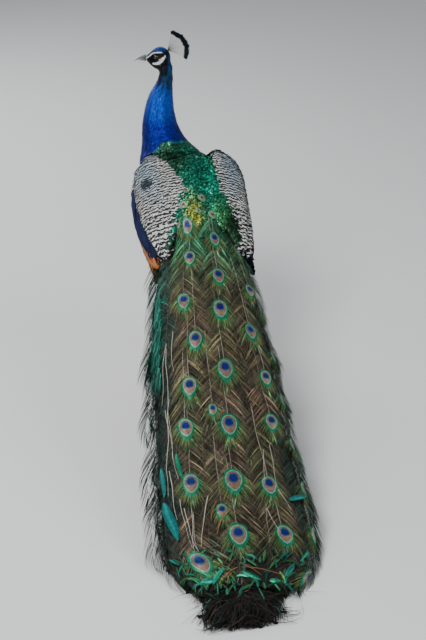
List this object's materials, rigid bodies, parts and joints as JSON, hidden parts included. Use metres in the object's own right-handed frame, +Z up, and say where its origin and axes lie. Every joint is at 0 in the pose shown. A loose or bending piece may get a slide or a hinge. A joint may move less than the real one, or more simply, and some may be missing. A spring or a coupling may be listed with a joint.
{
  "type": "standing peacock",
  "caption": "Life-size adult male Indian peafowl standing with its head turned to its left and its folded train trailing behind on the floor.",
  "frame": {"origin": "bottom centre of the whole bird's bounding box, on the floor", "axes": "+Z up, -Y the way the bird faces, +Y along its trailing train, +X its left"},
  "size_m": [0.515, 1.5802, 0.9414],
  "materials": {
    "back_feathers": "scale-like iridescent green back feathers with dark edges",
    "body_feathers": "iridescent blue-green breast and blackish belly feathers",
    "neck_feathers": "silky iridescent cobalt-blue neck feathers",
    "head_feathers": "short blue head feathers with black and bare white facial skin",
    "bill_horn": "pale grey horn",
    "eye": "wet dark brown eye",
    "crest_feathers": "bare pale shafts with dark blue-green fan tips",
    "wing_barred": "wing coverts finely barred black on buff-grey",
    "wing_blue": "glossy blue-black secondaries",
    "wing_chestnut": "matt chestnut primaries",
    "tail_feathers": "plain dark brown tail feathers",
    "train_feathers": "bronze-green loose barbs with blue-centred eye spots",
    "dark_plumes": "loose dark brown and teal plumes",
    "thigh_feathers": "soft buff feathers",
    "leg_scales": "grey-brown scaled skin",
    "claw_horn": "dark horn"
  },
  "bodies": {
    "root": {"rump": "back_feathers", "trunk": "body_feathers", "neck_lower": "neck_feathers", "neck_upper": "neck_feathers", "head": "head_feathers", "bill_upper": "bill_horn", "bill_lower": "bill_horn", "eye_left": "eye", "eye_right": "eye", "crest": "crest_feathers", "wing_left_coverts": "wing_barred", "wing_left_secondaries": "wing_blue", "wing_left_primaries": "wing_chestnut", "wing_right_coverts": "wing_barred", "wing_right_secondaries": "wing_blue", "wing_right_primaries": "wing_chestnut", "tail_fan": "tail_feathers", "train_base": "train_feathers", "train_upper": "train_feathers", "train_middle": "train_feathers", "train_lower": "train_feathers", "train_end": "train_feathers", "train_tangle": "dark_plumes", "thigh_left": "thigh_feathers", "thigh_right": "thigh_feathers", "shank_left": "leg_scales", "shank_right": "leg_scales", "foot_left": "leg_scales", "foot_right": "leg_scales", "spur_left": "claw_horn", "spur_right": "claw_horn", "claw_left_inner": "claw_horn", "claw_left_middle": "claw_horn", "claw_left_outer": "claw_horn", "claw_left_hind": "claw_horn", "claw_right_inner": "claw_horn", "claw_right_middle": "claw_horn", "claw_right_outer": "claw_horn", "claw_right_hind": "claw_horn"}
  },
  "joints": []
}
